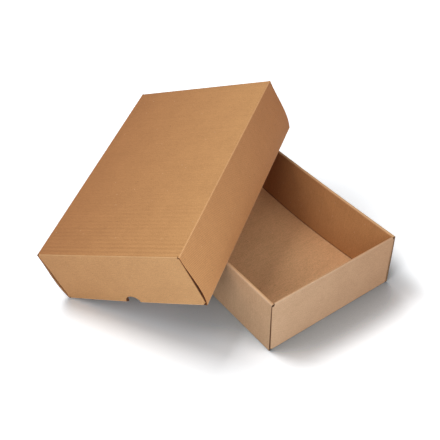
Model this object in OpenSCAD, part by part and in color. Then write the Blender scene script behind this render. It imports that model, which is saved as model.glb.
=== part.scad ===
// A two-piece telescoping box of corrugated board. The base tray stands open, and the lid, a tray of the same
// make turned over, leans on it: one lid corner is on the ground and two of its rims lie on two rims of the base.
// Each tray is one folded sheet. Its long walls are rolled over the dust flaps of its end walls, and its end
// walls are rolled over last.

/* [Base tray] */
// Outside width of the base tray
base_w = 318; // [290:1:360]
// Outside length of the base tray
base_l = 492; // [450:1:540]
// Outside height of the base tray
base_h = 128; // [110:1:140]

/* [Board and creases] */
// Thickness of the board
board = 1.5; // [1.2:0.1:1.8]
// Inside radius of the creases along the rims
rim_crease = 0.4; // [0.3:0.1:0.8]
// Inside radius of the creases round the floor panel
floor_crease = 1.5; // [1:0.1:3]
// Inside radius of the upright creases between an end wall and its dust flaps
corner_crease = 0.9; // [0.6:0.1:2]
// Slack between two layers that lie on each other
lap_gap = 0.25; // [0.2:0.05:0.5]

/* [Walls] */
// Thickness of a long wall, which holds the dust flaps
long_roll = 6.4; // [6:0.1:9]
// Thickness of an end wall
end_roll = 4; // [3.9:0.1:6]
// Depth of the cut in an end wall's upper corners, where the long rims pass
rim_relief = 5; // [4:0.5:10]
// Room between an end wall's inner panel and the long walls beside it
inner_ease = 1; // [0.8:0.1:3]
// Room between an inner panel's free edge and the floor panel
foot_gap = 0.3; // [0.2:0.1:2]

/* [Dust flaps] */
// Length of a dust flap from the end of the tray
flap_l = 110; // [60:1:150]
// How far a flap starts above the floor crease, and stops below the cut for the long rim
flap_trim = 1; // [0.5:0.5:10]

/* [Lid] */
// Clearance on each side between the closed lid and the base
fit = 1.6; // [1:0.1:4]
// Clearance above the base rim when the lid is closed
head_room = 1.8; // [1:0.1:5]
// Radius of the thumb notch in the near end wall
notch_r = 17; // [10:0.5:25]
// How much wider the notch is in the inner panel
notch_ease = 2; // [1:0.5:4]

/* [Spring of the board] */
// How far the lower edge of a long inner panel springs into the base tray
base_spring = 14; // [2:0.5:20]
// How far the same edge springs into the lid
lid_spring = 4; // [1:0.5:10]
// How far a long outer panel of the base bellies out
base_belly = 0.8; // [0.5:0.1:4]
// How far a long outer panel of the lid bellies out
lid_belly = 5.5; // [1:0.1:8]
// How far the base's corner creases stand in at the floor, which opens the corner seams there
base_tuck = 2.4; // [0:0.1:3]
// The same at the lid's top panel
lid_tuck = 0.4; // [0:0.1:3]

/* [Lean of the lid] */
// Distance from the base's near end to the lid's rest on the left rim
left_rest = 127; // [100:1:180]
// Distance from the base's right side to the lid's rest on the far rim
far_rest = 58.5; // [40:0.5:90]
// Turn of the lid on those two rests
lid_turn = 23.4; // [20:0.1:26]
// Air left at each rest
rest_gap = 0.1; // [0.05:0.05:0.5]

/* [Hidden] */
$fn = 48;

base_colour = "#c2a27d";
lid_colour = "#c09162";

rim_r = board + rim_crease;
floor_r = board + floor_crease;
corner_r = board + corner_crease;

lid_w = base_w + 2 * (long_roll + fit);
lid_l = base_l + 2 * (end_roll + fit);
lid_h = base_h + board + head_room;

// How far a long rim stops short of the end of its tray, and where an end rim starts beside it
rim_short = 0.3;
rim_end = long_roll + inner_ease;
// Length of the flat stub past the last crease of a section, which lies in the panel that it joins
stub = 1;
// Stretches that a sprung panel is drawn in along its length, and a bellied one in its height
spring_steps = 24;
belly_steps = 16;

// A quarter turn of board round the origin, in the first quadrant, with r on its outside
module quarter_bend(r) {
    intersection() {
        difference() {
            circle(r = r);
            circle(r = r - board);
        }
        square(2 * r);
    }
}

// Section of an outer panel from height z0 to z1, which leaves u = 0 at both and bellies out between them
module bellied_panel(z0, z1, belly) {
    outside = [for (i = [0:belly_steps]) let (t = i / belly_steps)
        [-4 * belly * t * (1 - t), z0 + (z1 - z0) * t]];
    inside = [for (i = [belly_steps:-1:0]) outside[i] + [board, 0]];
    polygon(concat(outside, inside));
}

// Section of the crease along the floor panel, which ends in the upright panel above it
module floor_crease_section() {
    translate([floor_r, 0]) square([stub, board]);
    translate([floor_r, floor_r]) rotate(180) quarter_bend(floor_r);
}

// Section of a rolled rim: two creases with a flat strip between them
module rim_section(h, roll) {
    translate([rim_r, h - rim_r]) rotate(90) quarter_bend(rim_r);
    translate([rim_r, h - board]) square([roll - 2 * rim_r, board]);
    translate([roll - rim_r, h - rim_r]) quarter_bend(rim_r);
}

// Runs a section along Y from y0 to y1
module along_y(y0, y1) {
    translate([0, y1, 0]) rotate([90, 0, 0]) linear_extrude(y1 - y0) children();
}

// Runs a section along X from x0 to x1
module along_x(x0, x1) {
    translate([x0, 0, 0]) rotate([90, 0, 90]) linear_extrude(x1 - x0) children();
}

// How far a flap that stands in at the floor by tuck pushes the lower corners of the panel inside it
function foot_push(tuck) = max(0, tuck + 3 * board + 2 * lap_gap - long_roll);

// Inner panel of a long wall: straight along the rim, its free edge sprung inwards in one long wave
module sprung_panel(l, h, spring, tuck) {
    y0 = board + lap_gap;
    top = h - rim_r;
    foot = board + foot_gap;
    push = foot_push(tuck);
    stations = [for (i = [0:spring_steps]) y0 + (l - 2 * y0) * i / spring_steps];
    points = [for (y = stations) each let (s = push + (spring - push) * sin(180 * y / l)) [
        [long_roll - board + s, y, foot], [long_roll + s, y, foot],
        [long_roll, y, top], [long_roll - board, y, top]]];
    last = 4 * spring_steps;
    sides = [for (i = [0:spring_steps - 1], k = [0:3]) let (a = 4 * i + k, b = 4 * i + (k + 1) % 4)
        each [[a, b, b + 4], [a, b + 4, a + 4]]];
    polyhedron(points, concat([[3, 2, 1, 0]], sides, [[last, last + 1, last + 2, last + 3]]));
}

// One long wall, with its outside on x = 0 and the tray's near end at y = 0
module long_wall(l, h, belly, spring, tuck) {
    along_y(rim_short, l - rim_short) {
        floor_crease_section();
        bellied_panel(floor_r, h - rim_r, belly);
        rim_section(h, long_roll);
    }
    sprung_panel(l, h, spring, tuck);
}

// Plan of an upright corner crease with its dust flap, and a stub that lies in the end wall
module flap_plan() {
    translate([corner_r, 0]) square([stub, board]);
    translate([corner_r, corner_r]) rotate(180) quarter_bend(corner_r);
    translate([0, corner_r]) square([board, flap_l - corner_r]);
}

// One dust flap at x = 0, tilted so that it stands further in at the floor by tuck
module dust_flap(h, tuck) {
    foot = floor_r + flap_trim;
    top = h - rim_relief - flap_trim;
    lean = atan(tuck / h);
    translate([board + lap_gap, 0, h]) rotate([0, -lean, 0]) translate([0, 0, foot - h])
        linear_extrude(top - foot) flap_plan();
}

// Outline of an end wall's outer panel, cut at its upper corners for the long rims
module end_outline(w, h, tuck) {
    shoulder = h - rim_relief;
    top = h - rim_r;
    function crease_x(z) = board + lap_gap + corner_r + stub / 2 + tuck * (1 - z / h);
    right = [[crease_x(floor_r), floor_r], [crease_x(shoulder), shoulder],
        [long_roll + lap_gap, shoulder], [long_roll + lap_gap, top]];
    left = [for (i = [3:-1:0]) [w - right[i][0], right[i][1]]];
    polygon(concat(right, left));
}

// Outline of an end wall's inner panel, narrower at the floor where the long inner panels are pushed in
module inner_outline(w, h, tuck) {
    foot_end = rim_end + foot_push(tuck);
    foot = board + foot_gap;
    top = h - rim_r;
    polygon([[foot_end, foot], [w - foot_end, foot], [w - rim_end, top], [rim_end, top]]);
}

// One end wall, with its outside on y = 0 and the tray's corner at x = 0
module end_wall(w, h, tuck, notched) {
    crease_end = board + lap_gap + corner_r + stub / 2 + tuck;
    difference() {
        union() {
            along_x(crease_end, w - crease_end) floor_crease_section();
            translate([0, board, 0]) rotate([90, 0, 0]) linear_extrude(board) end_outline(w, h, tuck);
            along_x(rim_end, w - rim_end) rim_section(h, end_roll);
            translate([0, end_roll, 0]) rotate([90, 0, 0]) linear_extrude(board) inner_outline(w, h, tuck);
        }
        if (notched) {
            translate([w / 2, end_roll / 2, h]) rotate([90, 0, 0]) cylinder(r = notch_r, h = end_roll);
            translate([w / 2, end_roll + board, h]) rotate([90, 0, 0])
                cylinder(r = notch_r + notch_ease, h = end_roll / 2 + board);
        }
    }
    for (side = [0, 1])
        translate([side * w, 0, 0]) mirror([side, 0, 0]) dust_flap(h, tuck);
}

// A whole tray, open upwards and centred over the origin. Only its near end wall can have a thumb notch: the
// far end of the lid lies on the base's rim just where a notch there would be
module tray(w, l, h, belly, spring, tuck, notched) {
    translate([floor_r - w / 2, floor_r - l / 2, 0]) cube([w - 2 * floor_r, l - 2 * floor_r, board]);
    for (side = [0, 1])
        mirror([side, 0, 0]) translate([-w / 2, -l / 2, 0]) long_wall(l, h, belly, spring, tuck);
    for (side = [0, 1])
        mirror([0, side, 0]) translate([-w / 2, -l / 2, 0]) end_wall(w, h, tuck, notched && side == 0);
}

// The two rests as points on the base's rims, and the line through them
left_point = [-base_w / 2, left_rest - base_l / 2, base_h];
far_point = [base_w / 2 - far_rest, base_l / 2, base_h];
span = norm(far_point - left_point);
rest_line = (far_point - left_point) / span;

// Slope at which the lid's outer corner comes down to the ground, from its distance to that line
corner_reach = lid_w * cos(lid_turn) + (lid_l - span * cos(lid_turn)) * sin(lid_turn);
slope = asin(base_h / corner_reach);
downhill = [-rest_line.y * cos(slope), rest_line.x * cos(slope), -sin(slope)];

// Directions of the lid's width, length and top in space
lid_x = -sin(lid_turn) * rest_line - cos(lid_turn) * downhill;
lid_y = cos(lid_turn) * rest_line - sin(lid_turn) * downhill;
lid_z = cross(lid_x, lid_y);

// The rims are round, so each rest holds two crease axes apart by two radii, square to both rims
rest_apart = 2 * rim_r + rest_gap;
left_normal = cross(lid_y, [0, 1, 0]) / norm(cross(lid_y, [0, 1, 0]));
far_normal = cross(lid_x, [1, 0, 0]) / norm(cross(lid_x, [1, 0, 0]));
rim_drop = (lid_h - rim_r) * lid_z;
left_level = left_normal * ([rim_r - base_w / 2, 0, base_h - rim_r]
    - (lid_w / 2 - long_roll + rim_r) * lid_x + rim_drop) + rest_apart;
far_level = far_normal * ([0, base_l / 2 - rim_r, base_h - rim_r]
    - (lid_l / 2 - end_roll + rim_r) * lid_y + rim_drop) + rest_apart;
ground_level = (lid_w / 2 - rim_r) * lid_x.z + (lid_l / 2 - rim_short) * lid_y.z + rim_drop.z
    + rim_r * norm([lid_x.z, lid_z.z]);

// The point that meets all three levels is the middle of the lid's top panel
up = [0, 0, 1];
lid_place = (left_level * cross(far_normal, up) + far_level * cross(up, left_normal)
    + ground_level * cross(left_normal, far_normal)) / (left_normal * cross(far_normal, up));

module base_tray() {
    color(base_colour) tray(base_w, base_l, base_h, base_belly, base_spring, base_tuck, false);
}

module lid() {
    color(lid_colour) multmatrix([for (k = [0:2]) [-lid_x[k], lid_y[k], -lid_z[k], lid_place[k]]])
        tray(lid_w, lid_l, lid_h, lid_belly, lid_spring, lid_tuck, true);
}

base_tray();
lid();
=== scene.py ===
import math

import bpy
import numpy as np
from mathutils import Matrix, Vector


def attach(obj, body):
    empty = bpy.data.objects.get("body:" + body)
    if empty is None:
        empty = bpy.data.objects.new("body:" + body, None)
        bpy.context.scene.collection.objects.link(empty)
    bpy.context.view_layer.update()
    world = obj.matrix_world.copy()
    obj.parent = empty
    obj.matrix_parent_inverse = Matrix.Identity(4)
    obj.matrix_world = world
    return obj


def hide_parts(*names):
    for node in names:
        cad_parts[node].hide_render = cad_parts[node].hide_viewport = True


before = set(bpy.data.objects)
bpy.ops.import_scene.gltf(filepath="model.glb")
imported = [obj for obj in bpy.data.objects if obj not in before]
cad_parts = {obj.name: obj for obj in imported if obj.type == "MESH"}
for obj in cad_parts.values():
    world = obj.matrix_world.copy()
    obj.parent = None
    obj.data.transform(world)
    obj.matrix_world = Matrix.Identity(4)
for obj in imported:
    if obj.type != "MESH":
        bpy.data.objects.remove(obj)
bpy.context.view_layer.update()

# Base tray
# One die-cut sheet of fine-fluted kraft board, with no glue or tape. Its long walls are rolled double over
# the dust flaps of its end walls, and the end walls are rolled over last. It is cut here as the flat blank
# and folded by one Geometry Nodes tree, so that flutes and fibres run on through every fold.
BOARD = 0.0015  # thickness of the board
FLUTE = 0.0033  # pitch of its flutes
LAP = 0.00025  # slack between layers that lie on each other
RIM_CREASE = 0.0019  # outer radius of the two creases of a rim
FLOOR_CREASE = 0.003  # outer radius of the crease at a wall's foot
CORNER_CREASE = 0.0024  # outer radius of the crease between an end wall and a dust flap
LONG_ROLL = 0.0064  # thickness of a long wall: two layers and the dust flap between them
END_ROLL = 0.004  # thickness of an end wall: two layers
END_SHORT = 0.0003  # how far a long wall's outer panel stops short of the tray's end
INNER_EASE = 0.001  # how far an end wall's inner panel stays off the long walls
RIM_RELIEF = 0.005  # how far under the rim an end wall's shoulders are
FOOT_GAP = 0.0003  # how far an inner panel's free edge stays off the floor
FLAP_LENGTH = 0.110  # how far a dust flap reaches round its corner
FLAP_TRIM = 0.001  # what is cut off the long edges of a dust flap
CUT = 0.00002  # the step in which the outline changes its width at a shoulder or a notch
WALL_CUT = 0.0001  # the step in which it changes its length at a long wall's foot
BESIDE = 0.003  # how far beside a crease the net of the sheet is finer
BY_EDGE = 0.005  # how far from a free edge it is finer
RUB_AND_HIGHLIGHT_WIDTH = 0.0008  # how far the worn line of a crease, partly a painted highlight, reaches beside it
EDGE_SHADE_WIDTH = 0.0022  # how far the painted shade reaches from an inner panel's free edge
LONG_WALLS, END_WALLS, DUST_FLAPS = 0, 1, 2  # the three folds; the closed panel goes with the long walls


def stations(start, *stretches):
    """Distances along the sheet, from a start through stretches of an end and a number of steps each."""
    marks = [start]
    for end, steps in stretches:
        marks.extend(np.linspace(marks[-1], end, steps + 1)[1:])
    return np.array(marks)


def wall_marks(height, roll):
    """Where a rolled wall's foot crease ends, its two rim creases start and end, and its free edge is.

    Each is a distance along the sheet from the edge of the closed panel."""
    foot_end = FLOOR_CREASE * math.pi / 2
    rim_start = foot_end + height - FLOOR_CREASE - RIM_CREASE
    rim_end = rim_start + RIM_CREASE * math.pi / 2
    turn_start = rim_end + roll - 2 * RIM_CREASE
    turn_end = turn_start + RIM_CREASE * math.pi / 2
    free_edge = turn_end + height - RIM_CREASE - BOARD - FOOT_GAP
    return foot_end, rim_start, rim_end, turn_start, turn_end, free_edge


def crease_share(run, marks):
    """1 on a crease, nearly 0 a few millimetres beside it, and down to -1 along the free edge.

    Above 0 it makes a worn line that is partly a painted highlight, and below 0 painted shade.
    """
    foot_end, rim_start, rim_end, turn_start, turn_end, free_edge = marks
    share = np.exp(-(((run - foot_end * 0.5) / RUB_AND_HIGHLIGHT_WIDTH) ** 2))
    for start, end in ((rim_start, rim_end), (turn_start, turn_end)):
        beside = np.maximum(0, np.maximum(start - run, run - end))
        share = np.maximum(share, np.exp(-((beside / RUB_AND_HIGHLIGHT_WIDTH) ** 2)))
    return share - np.exp(-(((free_edge - run) / EDGE_SHADE_WIDTH) ** 2))


def panel_order(run, marks):
    """0 on the closed panel, 1 on a wall's outer panel and 2 on its inner one, changing in the creases."""
    foot_end, rim_start, _, _, turn_end, _ = marks
    return np.interp(run, [0, foot_end, rim_start, turn_end], [0, 1, 1, 2])


def sheet_patch(across, along, fold, crease, panel):
    """One cut-out of the blank as a grid: its points' flat places, their fold, and their crease and panel.

    crease is 1 on a crease, for a worn line that is partly a painted highlight, and -1 where painted shade
    darkens the board, by a free edge or inside a corner seam."""
    return {"flat": np.stack([across, along], -1), "fold": fold,
            "crease": np.broadcast_to(crease, across.shape), "panel": np.broadcast_to(panel, across.shape)}


def long_patch(size):
    """The closed panel and its two long walls, from one wall's free edge to the other's."""
    width, length, height = size
    marks = wall_marks(height, LONG_ROLL)
    foot_end, rim_start, rim_end, turn_start, turn_end, free_edge = marks
    closed_half = width / 2 - FLOOR_CREASE
    wall = closed_half + stations(
        WALL_CUT, (foot_end, 8), (foot_end + BESIDE, 2), (rim_start - BESIDE, 16), (rim_start, 2),
        (rim_end, 6), (turn_start, 2), (turn_end, 6), (turn_end + BESIDE, 2), (free_edge - BY_EDGE, 11),
        (free_edge, 4))
    # The net has closer lines beside the walls' feet and along the ends.
    by_foot = np.array([0, 0.002, 0.005])
    closed = np.concatenate([-closed_half + by_foot, np.linspace(-closed_half, closed_half, 27)[1:-1],
                             closed_half - by_foot[::-1]])
    across = np.concatenate([-wall[::-1], closed, wall])
    run = np.abs(across) - closed_half
    half = np.where(run <= 0, length / 2 - FLOOR_CREASE, length / 2 - END_SHORT)
    rolled_over = np.clip((run - turn_start) / (turn_end - turn_start), 0, 1)
    half = half - rolled_over * (BOARD + LAP - END_SHORT)
    shares = np.concatenate([[-1, -0.994, -0.985], np.linspace(-1, 1, 75)[1:-1], [0.985, 0.994, 1]])
    across, share = np.meshgrid(across, shares, indexing="ij")
    return sheet_patch(across, share * half[:, None], LONG_WALLS, crease_share(run, marks)[:, None],
                       panel_order(run, marks)[:, None])


def outer_half(size, tuck, rise):
    """Half the width of an end wall's outer panel, whose foot stands in by the tuck, at a height on it."""
    return size[0] / 2 - (BOARD + LAP + CORNER_CREASE + tuck * (1 - rise / size[2]))


def foot_push(tuck):
    """How far a tucked dust flap pushes in the foot of the long inner panel that lies on it."""
    return max(0.0, tuck + 3 * BOARD + 2 * LAP - LONG_ROLL)


def end_patches(size, tuck, end, notch):
    """One end wall as two halves. They meet in its middle, or on the two sides of its thumb notch.

    notch is its radius outside, how much larger it is in the inner panel, and how far aside it is there."""
    width, length, height = size
    marks = wall_marks(height, END_ROLL)
    foot_end, rim_start, rim_end, turn_start, turn_end, free_edge = marks
    shoulder = foot_end + height - RIM_RELIEF - FLOOR_CREASE
    top = (rim_end + turn_start) / 2
    run = stations(
        0, (foot_end, 8), (foot_end + BESIDE, 2), (shoulder, 22), (shoulder + CUT, 1), (rim_start, 3),
        (rim_end, 6), (turn_start, 2), (turn_end, 6), (turn_end + BESIDE, 2), (free_edge - BY_EDGE, 18),
        (free_edge, 4))
    radius, ease, shift = notch or (0, 0, 0)
    if notch:
        arc = np.radians(np.linspace(0, 84, 13))
        run = np.unique(np.concatenate([
            run, rim_start + RIM_CREASE - radius * np.cos(arc), [top - CUT / 2, top + CUT / 2],
            turn_end - RIM_CREASE + (radius + ease) * np.cos(arc)]).round(8))
    rise = np.interp(run, [0, *marks], [0, FLOOR_CREASE, height - RIM_CREASE, height, height,
                                        height - RIM_CREASE, BOARD + FOOT_GAP])
    reach = np.where(run < top, radius, radius + ease)
    hole = np.sqrt(np.maximum(0, reach**2 - (height - rise) ** 2))
    hole_middle = np.where(run < top, 0, shift)
    # Half the width: the outer panel up to its shoulders, the neck between the long walls, the inner panel.
    neck = width / 2 - (LONG_ROLL + LAP)
    inner = width / 2 - (LONG_ROLL + INNER_EASE)
    down = np.clip((run - turn_end) / (free_edge - turn_end), 0, 1)
    half = np.where(run <= shoulder + CUT / 2, outer_half(size, tuck, rise),
                    np.where(run < rim_start + CUT / 2, neck, inner - foot_push(tuck) * down))
    ways = np.array([0, 0.006, 0.03, *np.linspace(0.07, 0.93, 22), 0.97, 0.994, 1])
    patches = []
    for hand in (-1, 1):
        edge = hole_middle + hand * hole
        across = edge[:, None] + (hand * half - hole_middle - hand * hole)[:, None] * ways
        along = np.broadcast_to((end * (length / 2 - FLOOR_CREASE + run))[:, None], across.shape)
        patches.append(sheet_patch(across, along, END_WALLS, crease_share(run, marks)[:, None],
                                   panel_order(run, marks)[:, None]))
    return patches


def flap_patches(size, tuck, end):
    """The two dust flaps on the upright edges of one end wall's outer panel."""
    length, height = size[1], size[2]
    foot_end = wall_marks(height, END_ROLL)[0]
    rise = np.linspace(FLOOR_CREASE + FLAP_TRIM, height - RIM_RELIEF - FLAP_TRIM, 24)
    reach = stations(0, (CORNER_CREASE * math.pi / 2, 6), (0.01, 3), (FLAP_LENGTH - CORNER_CREASE, 14))
    # Painted shade: it darkens from the middle of its crease on, where it goes in behind the long wall's cut
    # end.
    seam_painted_shade = -np.clip(reach / (CORNER_CREASE * 0.63) - 1.25, 0, 1)
    patches = []
    for hand in (-1, 1):
        across = hand * (outer_half(size, tuck, rise)[:, None] + reach[None, :])
        along = end * (length / 2 - FLOOR_CREASE + foot_end + rise - FLOOR_CREASE)
        along = np.broadcast_to(along[:, None], across.shape)
        patches.append(sheet_patch(across, along, DUST_FLAPS, seam_painted_shade[None, :], 1.0))
    return patches


def join_patches(patches):
    """Patches of one fold as one flat net, with shared points merged and all cells turned the same way."""
    flat, crease, panel, cells, used = [], [], [], [], 0
    for patch in patches:
        rows, columns = patch["flat"].shape[:2]
        index = used + np.arange(rows * columns).reshape(rows, columns)
        cell = np.stack([index[:-1, :-1], index[1:, :-1], index[1:, 1:], index[:-1, 1:]], -1).reshape(-1, 4)
        place = patch["flat"].reshape(-1, 2)
        a, b, c = (place[cell[:, corner] - used] for corner in range(3))
        turn = ((b - a)[:, 0] * (c - b)[:, 1] - (b - a)[:, 1] * (c - b)[:, 0]).sum()
        cells.append(cell if turn > 0 else cell[:, ::-1])
        flat.append(place)
        crease.append(patch["crease"].reshape(-1))
        panel.append(patch["panel"].reshape(-1))
        used += rows * columns
    flat, crease, panel, cells = (np.concatenate(part) for part in (flat, crease, panel, cells))
    microns = np.round(flat * 1e6).astype(np.int64)
    _, first, merged = np.unique(microns, axis=0, return_index=True, return_inverse=True)
    cells = [list(dict.fromkeys(cell)) for cell in merged.reshape(-1)[cells].tolist()]
    return flat[first], crease[first], panel[first], [cell for cell in cells if len(cell) > 2]


def cut_blank(name, size, tuck, notch):
    """The blank as a closed slab lying flat, with its outer liner at z = 0 and its inner one a board up."""
    patches = [long_patch(size)]
    for end in (-1, 1):
        patches += end_patches(size, tuck, end, notch if end < 0 else None)
        patches += flap_patches(size, tuck, end)
    points, folds, creases, panels, faces, cuts, used = [], [], [], [], [], [], 0
    for fold in (LONG_WALLS, END_WALLS, DUST_FLAPS):
        flat, crease, panel, cells = join_patches([patch for patch in patches if patch["fold"] == fold])
        count = len(flat)
        points.append(np.concatenate([np.c_[flat, np.zeros(count)], np.c_[flat, np.full(count, BOARD)]]))
        creases.append(np.tile(crease, 2))
        panels.append(np.tile(panel, 2))
        folds.append(np.full(2 * count, fold, float))
        edges = dict.fromkeys((i, j) for cell in cells for i, j in zip(cell, cell[1:] + cell[:1]))
        border = [(i, j) for i, j in edges if (j, i) not in edges]
        faces += [[used + count + i for i in cell] for cell in cells]
        faces += [[used + i for i in cell[::-1]] for cell in cells]
        faces += [[used + i, used + j, used + count + j, used + count + i] for i, j in border]
        cuts += [0] * (2 * len(cells)) + [1] * len(border)
        used += 2 * count
    mesh = bpy.data.meshes.new(name)
    points = np.concatenate(points)
    mesh.from_pydata(points.tolist(), [], faces)
    mesh.polygons.foreach_set("material_index", np.array(cuts, np.int32))
    for label, values in (("fold", np.concatenate(folds)), ("crease", np.concatenate(creases)),
                          ("panel", np.concatenate(panels)), ("depth", points[:, 2] / BOARD)):
        mesh.attributes.new(label, "FLOAT", "POINT").data.foreach_set("value", values.astype(np.float32))
    corners = np.zeros(len(mesh.loops), np.int32)
    mesh.loops.foreach_get("vertex_index", corners)
    mesh.uv_layers.new(name="flat").data.foreach_set("uv", points[corners, :2].astype(np.float32).ravel())
    mesh.polygons.foreach_set("use_smooth", np.ones(len(mesh.polygons), bool))
    blank = bpy.data.objects.new(name, mesh)
    bpy.context.scene.collection.objects.link(blank)
    return blank


class Sum:
    """An output in a node tree. Python expressions with outputs that are numbers become Math nodes."""

    def __init__(self, nodes, socket):
        self.nodes, self.socket = nodes, socket

    def __add__(self, other):
        return self.nodes.math("ADD", self, other)

    def __sub__(self, other):
        return self.nodes.math("SUBTRACT", self, other)

    def __rsub__(self, other):
        return self.nodes.math("SUBTRACT", other, self)

    def __mul__(self, other):
        return self.nodes.math("MULTIPLY", self, other)

    def __truediv__(self, other):
        return self.nodes.math("DIVIDE", self, other)

    def __rtruediv__(self, other):
        return self.nodes.math("DIVIDE", other, self)

    def __neg__(self):
        return self.nodes.math("MULTIPLY", self, -1.0)

    def __pow__(self, other):
        return self.nodes.math("POWER", self, other)

    __radd__, __rmul__ = __add__, __mul__


class Nodes:
    """A node tree with one way to add a node: its type, its settings, and its sockets' values or links."""

    def __init__(self, tree):
        self.tree = tree

    def add(self, kind, settings=None, sockets=None):
        node = self.tree.nodes.new(kind)
        for name, value in (settings or {}).items():
            setattr(node, name, value)
        for name, value in (sockets or {}).items():
            value = value.socket if isinstance(value, Sum) else value
            if isinstance(value, bpy.types.NodeSocket):
                self.tree.links.new(value, node.inputs[name])
            else:
                node.inputs[name].default_value = value
        return node

    def out(self, kind, output=0, settings=None, sockets=None):
        """Adds a node and gives one of its outputs."""
        return Sum(self, self.add(kind, settings, sockets).outputs[output])

    def math(self, operation, *terms):
        return self.out("ShaderNodeMath", 0, {"operation": operation}, dict(enumerate(terms)))

    def clamp(self, value, low=0.0, high=1.0):
        return self.math("MINIMUM", self.math("MAXIMUM", value, low), high)

    def vector(self, x, y, z):
        return self.out("ShaderNodeCombineXYZ", 0, None, {0: x, 1: y, 2: z})

    def split(self, vector):
        """The three numbers of a vector."""
        parts = self.add("ShaderNodeSeparateXYZ", None, {0: vector})
        return [Sum(self, part) for part in parts.outputs]


def fold_tree():
    """The tree that folds a flat blank into a tray and stands it in its place."""
    group = bpy.data.node_groups.new("fold_the_blank", "GeometryNodeTree")
    tree = Nodes(group)
    inputs = {
        "Geometry": ("Blank",),
        "Float": ("Width", "Length", "Height", "Board", "Long roll", "End roll", "Rim crease",
                  "Floor crease", "Corner crease", "Lap", "Belly", "Spring", "Foot push", "Tuck",
                  "Right rim bow", "Near rim bow", "Panel sag", "Ripple"),
        "Vector": ("Right", "Ahead", "Up", "Place"),
        "Material": ("Liner", "Cut edge")}
    for kind, names in inputs.items():
        for name in names:
            group.interface.new_socket(name, in_out="INPUT", socket_type="NodeSocket" + kind)
    group.interface.new_socket("Tray", in_out="OUTPUT", socket_type="NodeSocketGeometry")
    given = tree.add("NodeGroupInput")

    def ask(name):
        return Sum(tree, given.outputs[name])

    width, length, height, board = ask("Width"), ask("Length"), ask("Height"), ask("Board")
    rim_crease, floor_crease, corner_crease = ask("Rim crease"), ask("Floor crease"), ask("Corner crease")
    across, along, depth = tree.split(tree.out("GeometryNodeInputPosition"))
    fold = tree.out("GeometryNodeInputNamedAttribute", 0, {"data_type": "FLOAT"}, {"Name": "fold"})
    quarter = math.pi / 2

    def bend(run, start, radius):
        """How far a crease turns the sheet, its radius by the sine and cosine of that, and its end."""
        turn = tree.clamp((run - start) / radius, 0.0, quarter)
        sine, cosine = tree.math("SINE", turn), tree.math("COSINE", turn)
        return turn, radius * sine, radius * cosine, radius * quarter + start

    def past(run, start):
        return tree.math("MAXIMUM", run - start, 0.0)

    def rolled(run, roll):
        """Out and up along a rolled wall, the share of its outer panel, and the way down its inner panel."""
        outer_length, top_length = height - floor_crease - rim_crease, roll - 2.0 * rim_crease
        foot, foot_sine, foot_cosine, foot_end = bend(run, 0.0, floor_crease)
        outer = tree.math("MINIMUM", past(run, foot_end), outer_length)
        rim, rim_sine, rim_cosine, rim_end = bend(run, outer_length + foot_end, rim_crease)
        top = tree.math("MINIMUM", past(run, rim_end), top_length)
        turn, turn_sine, turn_cosine, turn_end = bend(run, top_length + rim_end, rim_crease)
        down = past(run, turn_end)
        angle = foot + rim + turn
        out = tree.math("MINIMUM", run, 0.0) + foot_sine + (rim_cosine - rim_crease) - top - turn_sine
        up = (floor_crease - foot_cosine) + outer + rim_sine + (turn_cosine - rim_crease) - down
        out = out - depth * tree.math("SINE", angle)
        up = up + depth * tree.math("COSINE", angle)
        return out, up, outer / outer_length, down

    # Waves of soft board, about a tenth of a metre long and mostly inwards.
    ripple_noise = tree.out("ShaderNodeTexNoise", 0, {"noise_dimensions": "3D"},
                            {"Vector": tree.vector(across, along, 3.7), "Scale": 11.0, "Detail": 1.0})
    inwards = 0.3
    ripple = ask("Ripple") * (ripple_noise - 0.5 - inwards)
    middle_across = 1.0 - (2.0 * across / width) ** 2.0
    middle_along = 1.0 - (2.0 * along / length) ** 2.0

    # The closed panel and its two long walls: bellied outside, sprung inside, the right rim bowed in.
    belly_peak = 27 / 4  # makes the greatest value of share * share * (1 - share) one
    side = tree.math("SIGN", across)
    run = tree.math("ABSOLUTE", across) - (width / 2.0 - floor_crease)
    out, up, share, down = rolled(run, ask("Long roll"))
    belly = ask("Belly") * belly_peak * share * share * (1.0 - share)
    wave = tree.math("SINE", tree.clamp(along / length + 0.5) * math.pi)
    spring = (ask("Foot push") + (ask("Spring") - ask("Foot push")) * wave) * (down / height)
    bow = ask("Right rim bow") * middle_along * (up / height) * tree.math("MAXIMUM", side, 0.0)
    out = out + belly - spring - bow + ripple * 4.0 * share * (1.0 - share)
    on_closed = tree.clamp(-run / floor_crease)
    sag = (ask("Panel sag") * middle_along * middle_across - 0.5 * ripple) * on_closed
    long_place = tree.vector(side * (width / 2.0 - floor_crease + out), along, up + sag)

    # An end wall: rolled over last, the near rim a little bowed.
    end = tree.math("SIGN", along)
    run = tree.math("ABSOLUTE", along) - (length / 2.0 - floor_crease)
    out, up, share, _ = rolled(run, ask("End roll"))
    bow = ask("Near rim bow") * middle_across * (up / height) * tree.math("MAXIMUM", -end, 0.0)
    out = out + bow + ripple * 4.0 * share * (1.0 - share)
    end_place = tree.vector(across, end * (length / 2.0 - floor_crease + out), up)

    # A dust flap: creased round the corner from the end wall's outer panel, flat against the long wall.
    rise = run - floor_crease * quarter + floor_crease
    lean = ask("Tuck") * (1.0 - rise / height)
    start = width / 2.0 - board - ask("Lap") - corner_crease - lean
    reach = tree.math("ABSOLUTE", across) - start
    turn, turn_sine, turn_cosine, turn_end = bend(reach, 0.0, corner_crease)
    out = start + turn_sine - depth * tree.math("SINE", turn)
    back = corner_crease - turn_cosine + past(reach, turn_end) + depth * tree.math("COSINE", turn)
    flap_place = tree.vector(side * out, end * (length / 2.0 - back), rise)

    def pick(last_fold, up_to_it, after_it):
        is_after = tree.math("GREATER_THAN", fold, last_fold + 0.5)
        return tree.out("GeometryNodeSwitch", 0, {"input_type": "VECTOR"},
                        {"Switch": is_after, "False": up_to_it, "True": after_it})

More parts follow.
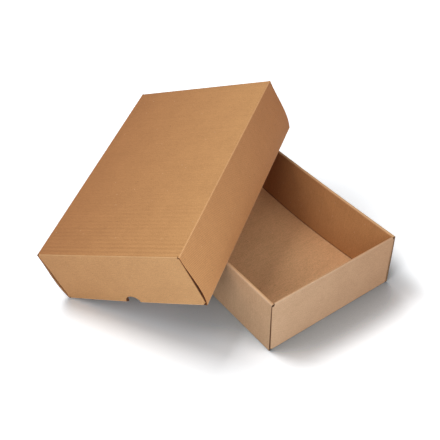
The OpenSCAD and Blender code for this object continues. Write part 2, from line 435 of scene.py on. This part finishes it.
    place = pick(LONG_WALLS, long_place, pick(END_WALLS, end_place, flap_place))
    stood = ask("Place")
    for axis, part in zip(("Right", "Ahead", "Up"), tree.split(place)):
        step = tree.out("ShaderNodeVectorMath", 0, {"operation": "SCALE"}, {0: ask(axis), "Scale": part})
        stood = tree.out("ShaderNodeVectorMath", 0, {"operation": "ADD"}, {0: stood, 1: step})
    is_cut = tree.math("GREATER_THAN", tree.out("GeometryNodeInputMaterialIndex"), 0.5)
    tray = tree.add("GeometryNodeSetPosition", None, {"Geometry": given.outputs["Blank"], "Position": stood})
    tray = tree.add("GeometryNodeRealizeInstances", None, {"Geometry": tray.outputs[0]})
    for name, selection in (("Cut edge", is_cut), ("Liner", 1.0 - is_cut)):
        tray = tree.add("GeometryNodeSetMaterial", None, {
            "Geometry": tray.outputs[0], "Selection": selection, "Material": given.outputs[name]})
    tree.add("NodeGroupOutput", None, {0: tray.outputs[0]})
    return group


def tray_stand(node, belly):
    """How a tray stands and its size, both read from its CAD node.

    It stands by its own right, ahead and up and by the middle of its closed panel's outside. Its size is its
    width without the belly of its long walls, its length and its height."""
    least_area, parallel, same_plane, beyond, level = 1e-9, 0.99999, 2e-5, 1e-4, 1e-3
    towards_far_end = np.array([0.5, 1, 0])
    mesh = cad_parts[node].data
    mesh.calc_loop_triangles()
    points = np.array([v.co for v in mesh.vertices], float)
    triangles = points[np.array([t.vertices for t in mesh.loop_triangles])]
    normal = np.cross(triangles[:, 1] - triangles[:, 0], triangles[:, 2] - triangles[:, 0])
    area = np.linalg.norm(normal, axis=1) / 2
    sound = area > least_area
    triangles, normal, area = triangles[sound], normal[sound] / (2 * area[sound])[:, None], area[sound]
    depth = (triangles[:, 0] * normal).sum(1)

    def widest(allowed):
        """The outward direction of the widest allowed flat face that has nothing of the tray beyond it."""
        best_area, best_way = 0, None
        for i in np.argsort(-area * allowed)[:60]:
            same = allowed & (normal @ normal[i] > parallel) & (abs(depth - depth[i]) < same_plane)
            outmost = (points @ normal[i]).max() < depth[i] + beyond
            if outmost and area[same].sum() > best_area:
                best_area, best_way = area[same].sum(), (normal[same] * area[same][:, None]).sum(0)
        return best_way / np.linalg.norm(best_way)

    up = -widest(np.ones(len(area), bool))
    ahead = widest(abs(normal @ up) < level)
    if ahead @ towards_far_end < 0:
        ahead = -ahead
    right = np.cross(ahead, up)
    spans = [points @ way for way in (right, ahead, up)]
    low, high = np.array([span.min() for span in spans]), np.array([span.max() for span in spans])
    place = right * (low[0] + high[0]) / 2 + ahead * (low[1] + high[1]) / 2 + up * low[2]
    width, length, height = high - low
    stand = {"Right": right, "Ahead": ahead, "Up": up, "Place": place}
    return stand, (width - 2 * belly, length, height)


def fold_tray(name, stand, size, tuck, inputs, notch=None):
    """Cuts a blank, folds it where its tray stands, and gives the folded sheet as a plain mesh object.

    inputs are the rest of the tree's inputs by name."""
    sharp = math.radians(35)
    values = {"Width": size[0], "Length": size[1], "Height": size[2], "Board": BOARD, "Long roll": LONG_ROLL,
              "End roll": END_ROLL, "Rim crease": RIM_CREASE, "Floor crease": FLOOR_CREASE,
              "Corner crease": CORNER_CREASE, "Lap": LAP, "Foot push": foot_push(tuck), "Tuck": tuck,
              **stand, **inputs}
    blank = cut_blank(name + "_blank", size, tuck, notch)
    step = blank.modifiers.new("fold", "NODES")
    step.node_group = folding
    for item in folding.interface.items_tree:
        if item.in_out == "INPUT" and item.name in values:
            step[item.identifier] = values[item.name]
    seen = bpy.context.evaluated_depsgraph_get()
    mesh = bpy.data.meshes.new_from_object(
        blank.evaluated_get(seen), preserve_all_data_layers=True, depsgraph=seen)
    mesh.name = name
    bpy.data.objects.remove(blank)
    mesh.set_sharp_from_angle(angle=sharp)
    folded = bpy.data.objects.new(name, mesh)
    bpy.context.scene.collection.objects.link(folded)
    return folded


def empty_nodes(block):
    """The node tree of a new material or world, emptied."""
    block.use_nodes = True
    block.node_tree.nodes.clear()
    return Nodes(block.node_tree)


def flat_place(tree):
    """Across and along on the flat blank, in metres."""
    return tree.split(tree.out("ShaderNodeUVMap", 0, {"uv_map": "flat"}))[:2]


def attribute(tree, name):
    return tree.out("ShaderNodeAttribute", 2, {"attribute_name": name})


def colour_mix(tree, a, b, share, blend="MIX"):
    return tree.out("ShaderNodeMix", 2, {"data_type": "RGBA", "blend_type": blend}, {0: share, 6: a, 7: b})


def tinted(tree, colour, tint):
    return colour_mix(tree, colour, tint, 1.0, "MULTIPLY")


def board_liner(name, size, closed, walls, ends, floor, inner, rub_and_highlight_tint, painted_light_drift, ribs, painted_washboard_bands=None):
    """Kraft liner over flutes: cloudy pulp, fibres, the flutes' print-through, flecks, worn creases and
    painted light.

    closed, walls and ends are the outside's colours, floor is the closed panel's inside, and inner is the
    inner panels' seen side. closed, walls, ends and inner are one liner, so the differences between their
    colours are painted light and shade. The crease tint is that of a worn line that is partly a painted
    highlight. The shift given by face is how much lighter the board grows to the right or to the near end of
    the tray, and is painted light and shade. ribs is how strongly the flutes print through, in bumps and in
    colour lines that partly paint their light and shade. The broad bands on the closed panel are painted
    light and shade of the washboarded flutes: where along it they are strongest, where they end, and their
    strength."""
    material = bpy.data.materials.new(name)
    tree = empty_nodes(material)
    across, along = flat_place(tree)
    depth, crease, panel, fold = (attribute(tree, label) for label in ("depth", "crease", "panel", "fold"))
    inside = tree.math("GREATER_THAN", depth, 0.5)
    on_wall, on_inner = tree.clamp(panel), tree.clamp(panel - 1.0)
    on_end = tree.clamp(fold) * on_wall

    def cloud(x, y, scale, detail=3.0, rough=0.55):
        """Noise about 0, a little different on the two liners."""
        at = tree.vector(x, y, depth * 0.31)
        noise = {"Vector": at, "Scale": scale, "Detail": detail, "Roughness": rough}
        return tree.out("ShaderNodeTexNoise", 0, None, noise) - 0.5

    # Clouds and fibres of the pulp, mostly drawn out across the tray as the flutes are, and the flutes. The
    # flutes' colour lines partly paint the light and shade of their ribs.
    pulp = cloud(across, along, 17.0)
    patch = cloud(across + 3.1, along, 60.0)
    grain = cloud(across + 1.7, along, 420.0, 4.0, 0.75)
    streak = cloud(across * 14.0, along * 330.0, 1.0, 4.0, 0.6)
    long_streak = cloud(across * 3.0, along * 120.0 + 7.0, 1.0, 3.0, 0.6)
    fibre = cloud(across * 420.0, along * 900.0, 1.0, 3.0, 0.7)
    dash = cloud(across * 90.0, along * 520.0, 1.0, 2.0, 0.6)
    wander = cloud(across * 2.0, along * 14.0 + 11.0, 1.0, 1.0) * 1.2
    flutes = tree.math("SINE", along * (2 * math.pi / FLUTE) + wander)
    print_through = 1.0 - 0.8 * on_end
    rib = ribs["closed"] + (ribs["walls"] - ribs["closed"]) * on_wall
    rib = rib * (1.0 - on_end) + ribs["ends"] * on_end
    shade = (0.5 + pulp * 0.45 + patch * 0.25 + (streak * 0.28 + long_streak * 0.30) * print_through
             + grain * 2.2 + dash * 0.8 + flutes * rib)
    # Painted light and shade: broad bands of the washboarded flutes on the closed panel, strongest at one
    # end.
    if painted_washboard_bands:
        strongest, last, strength = painted_washboard_bands
        near = tree.clamp((last - along) / (last - strongest))
        painted_band = tree.math("SINE", along * (2 * math.pi / (3 * FLUTE)) + wander * 0.6)
        broken = tree.clamp(0.75 + cloud(across * 7.0, along * 24.0, 1.0, 2.0) * 2.4)
        shade = shade + painted_band * near * near * broken * strength * (1.0 - on_wall)

    # The colour of each face, and a painted shift of light and shade over it.
    wall_tone = colour_mix(tree, colour_mix(tree, walls, ends, tree.clamp(fold)), inner, on_inner)
    tone = colour_mix(tree, colour_mix(tree, closed, floor, inside), wall_tone, on_wall)
    to_right, to_near = across / size[0], along * (-1.0 / size[1])
    on_long_walls = to_near * (painted_light_drift["walls_near"] + on_inner * (painted_light_drift["inner_near"] - painted_light_drift["walls_near"]))
    on_closed = to_right * painted_light_drift["closed_right"] + to_near * painted_light_drift["closed_near"]
    painted_drift = (on_closed * (1.0 - on_wall) + on_long_walls * on_wall) * (1.0 - on_end)
    painted_drift = 0.5 + painted_drift + to_right * painted_light_drift["ends_right"] * on_end
    painted_drift_tint = colour_mix(tree, (0.80, 0.70, 0.62, 1), (1.20, 1.30, 1.38, 1), tree.clamp(painted_drift))
    shade_tint = colour_mix(tree, (0.80, 0.76, 0.71, 1), (1.20, 1.24, 1.29, 1), tree.clamp(shade))
    tone = tinted(tree, tone, painted_drift_tint)
    colour = tinted(tree, tone, shade_tint)

    def flecks(scale, width, seed, keep):
        """Spots in the pulp, in those cells whose own random number is over keep."""
        at = tree.vector(across * 0.7, along, depth * 0.5 + seed)
        cells = tree.add("ShaderNodeTexVoronoi", {"feature": "F1"},
                         {"Vector": at, "Scale": scale, "Randomness": 1.0})
        number = tree.out("ShaderNodeSeparateColor", 0, None, {0: cells.outputs["Color"]})
        spot = tree.clamp((width - Sum(tree, cells.outputs["Distance"])) * (8.0 / width))
        return spot * tree.math("GREATER_THAN", number, keep)

    bark, straw = flecks(150.0, 0.10, 0.2, 0.82), flecks(120.0, 0.09, 0.9, 0.84)
    colour = colour_mix(tree, colour, (0.16, 0.075, 0.03, 1), bark * 0.7)
    colour = colour_mix(tree, colour, (0.80, 0.60, 0.40, 1), straw * 0.5)

    # Creases worn lighter, in part a painted highlight; painted shade on the hidden side of the inner
    # panels, along free edges and in corner seams.
    rub_and_highlight = tree.clamp(crease) * tree.clamp(0.8 + streak * 1.4 + patch)
    colour = colour_mix(tree, colour, tinted(tree, tone, rub_and_highlight_tint), rub_and_highlight * 0.85)
    covered_painted_shade = tree.math("GREATER_THAN", on_inner + inside, 1.5)
    colour = colour_mix(tree, colour, tinted(tree, tone, (0.20, 0.12, 0.08, 1)), covered_painted_shade)
    colour = colour_mix(tree, colour, (0.10, 0.024, 0.005, 1), tree.clamp(-crease) * 0.85)

    height = (flutes * rib * 0.0003 + streak * 0.00003 * print_through + fibre * 0.00004 + grain * 0.00004
              + pulp * 0.0002 - tree.clamp(crease) * 0.00004)
    bump = tree.out("ShaderNodeBump", 0, None, {"Strength": 1.0, "Distance": 1.0, "Height": height})
    shell = tree.add("ShaderNodeBsdfPrincipled", None, {
        "Base Color": colour, "Roughness": tree.clamp(0.80 + grain * 0.18 - rub_and_highlight * 0.08, 0.3, 1.0),
        "Normal": bump, "Specular IOR Level": 0.30, "Sheen Weight": 0.06, "Sheen Roughness": 0.6})
    tree.add("ShaderNodeOutputMaterial", None, {0: shell.outputs[0]})
    return material


def board_edge(name, liner, flute_hollow_shade):
    """The cut edge: two liners and the fluted medium between them, a little frayed, with the hollows painted
    dark as shade.
    """
    material = bpy.data.materials.new(name)
    tree = empty_nodes(material)
    across, along = flat_place(tree)
    depth = attribute(tree, "depth")
    at = tree.vector(across, along, depth * BOARD)
    fray = tree.out("ShaderNodeTexNoise", 0, None, {"Vector": at, "Scale": 1800.0, "Detail": 3.0}) - 0.5
    medium = 0.5 + tree.math("SINE", along * (2 * math.pi / FLUTE)) * 0.34
    on_medium = tree.clamp(1.6 - tree.math("ABSOLUTE", depth - medium + fray * 0.15) * 11.0)
    on_liner = tree.clamp(tree.math("ABSOLUTE", depth - 0.5) * 14.0 - 4.9 + fray * 1.5)
    solid = tree.math("MAXIMUM", on_medium, on_liner)
    # Painted shade: the hollows between the liners and the medium are dark.
    colour = colour_mix(tree, flute_hollow_shade, liner, tree.clamp(solid * 0.8 + fray * 0.5))
    height = solid * 0.0003 + fray * 0.0001
    bump = tree.out("ShaderNodeBump", 0, None, {"Strength": 1.0, "Distance": 1.0, "Height": height})
    shell = tree.add("ShaderNodeBsdfPrincipled", None, {
        "Base Color": colour, "Roughness": tree.clamp(0.90 + fray * 0.2, 0.3, 1.0), "Normal": bump,
        "Specular IOR Level": 0.2})
    tree.add("ShaderNodeOutputMaterial", None, {0: shell.outputs[0]})
    return material


folding = fold_tree()
BASE_BELLY, BASE_TUCK = 0.0008, 0.0024
base_stand, base_size = tray_stand("base_tray", BASE_BELLY)
# Its inner panels' seen side is the same liner as its walls; its darker, more orange colour is painted shade
# inside the tray.
base_liner = board_liner(
    "base_liner", base_size,
    closed=(0.55, 0.347, 0.20, 1), walls=(0.55, 0.347, 0.20, 1), ends=(0.53, 0.325, 0.188, 1),
    floor=(0.765, 0.435, 0.212, 1), inner=(0.44, 0.198, 0.068, 1), rub_and_highlight_tint=(1.12, 1.24, 1.40, 1),
    painted_light_drift={"closed_right": -0.3, "closed_near": 0.9, "walls_near": 0.0, "inner_near": 1.0,
           "ends_right": -0.6},
    ribs={"closed": 0.06, "walls": 0.05, "ends": 0.03})
base_edge = board_edge("base_cut_edge", liner=(0.28, 0.15, 0.08, 1), flute_hollow_shade=(0.09, 0.04, 0.018, 1))
base_sheet = fold_tray("base_sheet", base_stand, base_size, BASE_TUCK, {
    "Belly": BASE_BELLY, "Spring": 0.014, "Right rim bow": 0.0028, "Near rim bow": 0.0, "Panel sag": 0.0,
    "Ripple": 0.0006, "Liner": base_liner, "Cut edge": base_edge})
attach(base_sheet, "root")
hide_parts("base_tray")

# Lid
# A second sheet of the same make, a browner kraft and a little larger all round. It is turned over and leans
# with two rims on the base and one corner on the ground. A thumb notch is cut in its near end wall.
LID_BELLY, LID_TUCK = 0.0055, 0.0004
NOTCH_RADIUS, NOTCH_EASE, NOTCH_SHIFT = 0.017, 0.001, -0.0042
lid_stand, lid_size = tray_stand("lid", LID_BELLY)
lid_near_end = -lid_size[1] / 2
# Its closed panel is the same liner as its walls and ends; its darker colour is painted shade on the lid's
# top.
lid_liner = board_liner(
    "lid_liner", lid_size,
    closed=(0.425, 0.198, 0.067, 1), walls=(0.565, 0.260, 0.096, 1), ends=(0.57, 0.30, 0.122, 1),
    floor=(0.52, 0.28, 0.13, 1), inner=(0.53, 0.27, 0.11, 1), rub_and_highlight_tint=(1.24, 1.50, 2.0, 1),
    painted_light_drift={"closed_right": -0.95, "closed_near": 0.0, "walls_near": 1.05, "inner_near": 0.5,
           "ends_right": -0.45},
    ribs={"closed": 0.13, "walls": 0.60, "ends": 0.04}, painted_washboard_bands=(lid_near_end, 0.02, 0.19))
lid_edge = board_edge("lid_cut_edge", liner=(0.27, 0.085, 0.022, 1), flute_hollow_shade=(0.12, 0.028, 0.007, 1))
lid_sheet = fold_tray("lid_sheet", lid_stand, lid_size, LID_TUCK, {
    "Belly": LID_BELLY, "Spring": 0.004, "Right rim bow": 0.0, "Near rim bow": 0.002, "Panel sag": 0.0012,
    "Ripple": 0.0010, "Liner": lid_liner, "Cut edge": lid_edge}, (NOTCH_RADIUS, NOTCH_EASE, NOTCH_SHIFT))
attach(lid_sheet, "root")
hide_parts("lid")

# Ground and light
# White paper in a small product studio, under a soft key lamp high up on the left and two lower ones in
# front. The camera sees the paper with its shading leaning to the key lamp, paler away from the boxes, and
# with a painted shadow that greys it where they close it in. All other light meets it as a plain grey
# ground.

# The camera's place and look, by which the lamps are placed.
EYE = Vector((-0.8322, -0.9964, 1.2068))
LOOK = Vector((0.44909, 0.60638, -0.65622)).normalized()
UPRIGHT = Vector((0, 0, 1))
aside = LOOK.cross(UPRIGHT).normalized()
back = Vector((LOOK.x, LOOK.y, 0)).normalized()
GROUND_REACH, GROUND_TOP = 6, -0.0002
GROUND_MIDDLE = (-0.1, 0.05)
WORLD_FILL = 0.34
LAMP_AIM = Vector((-0.07, 0.03, 0.10))
LAMP_DISTANCE, LAMP_SIZE = 1.7, 0.75


def background_ray(tree):
    """1 for rays that show the background: the camera's, and those that gloss or glass passes on."""
    ray = tree.add("ShaderNodeLightPath")
    camera_ray, glossy_ray, passed_ray = (
        Sum(tree, ray.outputs[name]) for name in ("Is Camera Ray", "Is Glossy Ray", "Is Transmission Ray"))
    return tree.math("MAXIMUM", tree.math("MAXIMUM", camera_ray, glossy_ray), passed_ray)


def closed_in(tree, distance, shut_at, over, way=None):
    """1 where the boxes close in the ground, within a distance and towards a way, and 0 in the open."""
    sockets = {"Distance": distance}
    if way is not None:
        sockets["Normal"] = tree.vector(*way.normalized())
    openness = tree.out("ShaderNodeAmbientOcclusion", 1, {"samples": 16}, sockets)
    return 1.0 - tree.clamp((openness - shut_at) / over)


def lamp(name, across, behind, above, level):
    """A square soft lamp that lights a surface facing it to level times the surface's own colour."""
    towards = (aside * across + back * behind + UPRIGHT * above).normalized()
    light = bpy.data.lights.new(name, "AREA")
    light.shape, light.size = "SQUARE", LAMP_SIZE
    light.energy = level * math.pi**2 * LAMP_DISTANCE**2
    holder = bpy.data.objects.new(name, light)
    holder.location = LAMP_AIM + towards * LAMP_DISTANCE
    holder.rotation_mode = "QUATERNION"
    holder.rotation_quaternion = towards.to_track_quat("Z", "Y")
    bpy.context.scene.collection.objects.link(holder)


ground_corners = [(x, y, GROUND_TOP) for x, y in (
    (-GROUND_REACH, -GROUND_REACH), (GROUND_REACH, -GROUND_REACH), (GROUND_REACH, GROUND_REACH),
    (-GROUND_REACH, GROUND_REACH))]
ground_mesh = bpy.data.meshes.new("ground")
ground_mesh.from_pydata(ground_corners, [], [(0, 1, 2, 3)])
ground = bpy.data.objects.new("ground", ground_mesh)
bpy.context.scene.collection.objects.link(ground)
paper = bpy.data.materials.new("white_ground")
tree = empty_nodes(paper)
x, y, _ = tree.split(tree.add("ShaderNodeTexCoord").outputs["Object"])
from_x, from_y = x - GROUND_MIDDLE[0], y - GROUND_MIDDLE[1]
away = tree.math("SQRT", from_x * from_x + from_y * from_y)
pale = colour_mix(tree, (1.54, 1.60, 1.655, 1), (3.7, 3.7, 3.7, 1), tree.clamp((away - 0.40) / 1.3))
lean = ((back * 0.34 - aside * 0.94) * 0.60 + UPRIGHT * 0.80).normalized()
to_key = back * 0.22 - aside * 0.72 + UPRIGHT * 0.65
to_back = Vector((-0.62, 0.78, 0.50))
# Painted shadow: the seen ground's colour is greyed where the boxes close it in: overhead, towards the key
# lamp and towards the back. The last two fade out to the left.
overhead = closed_in(tree, distance=0.20, shut_at=0.45, over=0.25)
from_key = closed_in(tree, distance=0.45, shut_at=0.50, over=0.16, way=to_key)
from_back = closed_in(tree, distance=0.11, shut_at=0.35, over=0.55, way=to_back)
key_fade, back_fade = tree.clamp((x + 0.45) * 4.5), tree.clamp((x + 0.40) * 9.0)
for tone, share in (
        ((0.73, 0.755, 0.765, 1), overhead), ((0.63, 0.645, 0.65, 1), from_key * key_fade),
        ((0.60, 0.65, 0.70, 1), from_back * back_fade)):
    pale = colour_mix(tree, pale, tone, share, "MULTIPLY")
seen_ground = tree.add("ShaderNodeBsdfDiffuse", None, {"Color": pale, "Normal": tree.vector(*lean)})
grey_ground = tree.add("ShaderNodeBsdfDiffuse", None, {"Color": (0.78, 0.78, 0.78, 1)})
both = tree.add("ShaderNodeMixShader", None, {
    0: background_ray(tree), 1: grey_ground.outputs[0], 2: seen_ground.outputs[0]})
tree.add("ShaderNodeOutputMaterial", None, {0: both.outputs[0]})
ground_mesh.materials.append(paper)

world = bpy.data.worlds.new("studio")
tree = empty_nodes(world)
strength = WORLD_FILL + background_ray(tree) * (1.0 - WORLD_FILL)
sky = tree.add("ShaderNodeBackground", None, {"Color": (1, 1, 1, 1), "Strength": strength})
tree.add("ShaderNodeOutputWorld", None, {0: sky.outputs[0]})
bpy.context.scene.world = world

lamp("key", -0.419, 0.186, 0.889, 0.53)
lamp("front_left", -0.383, -0.821, 0.423, 0.25)
lamp("front_right", 0.612, -0.612, 0.5, 0.30)

# Camera
# The photograph's own view, solved from the edges of both trays: 41 degrees above the ground, a 66 mm lens
# on a 36 mm frame, and a roll of a seventh of a degree.
LENS, SENSOR, ROLL = 66.05, 36.0, math.radians(0.14)
camera_data = bpy.data.cameras.new("camera")
camera_data.lens, camera_data.sensor_width = LENS, SENSOR
camera = bpy.data.objects.new("camera", camera_data)
turned = Matrix((aside, aside.cross(LOOK), -LOOK)).transposed().to_4x4()
camera.matrix_world = Matrix.Translation(EYE) @ turned @ Matrix.Rotation(ROLL, 4, "Z")
bpy.context.scene.collection.objects.link(camera)
bpy.context.scene.camera = camera

bpy.context.scene.view_settings.view_transform = "Standard"
